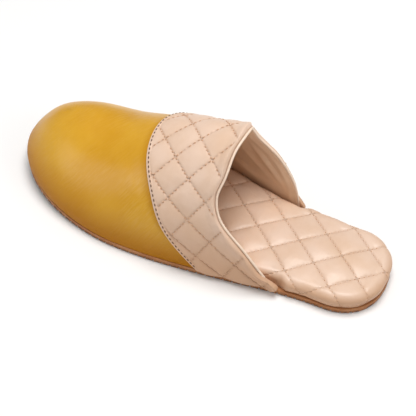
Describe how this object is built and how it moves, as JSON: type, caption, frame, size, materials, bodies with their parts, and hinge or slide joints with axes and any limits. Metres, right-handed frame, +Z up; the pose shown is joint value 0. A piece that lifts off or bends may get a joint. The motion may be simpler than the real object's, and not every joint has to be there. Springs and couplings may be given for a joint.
{
  "type": "house slipper",
  "caption": "Closed-toe house slipper for the left foot, open behind the instep: smooth vamp, quilted instep band and footbed, flat lugged rubber outsole.",
  "frame": {"origin": "on the floor, under the middle of the outsole's box", "axes": "+X from heel to toe, +Y to the wearer's left, the outer side of this left shoe, +Z up"},
  "size_m": [0.2632, 0.0994, 0.0892],
  "materials": {
    "sole_rubber": "satin brown rubber",
    "quilted_beige": "smooth quilted leather, low gloss",
    "vamp_leather": "smooth mustard leather, satin"
  },
  "bodies": {
    "root": {"outsole": "sole_rubber", "footbed": "quilted_beige", "upper": "vamp_leather", "instep_band": "quilted_beige"}
  },
  "joints": []
}
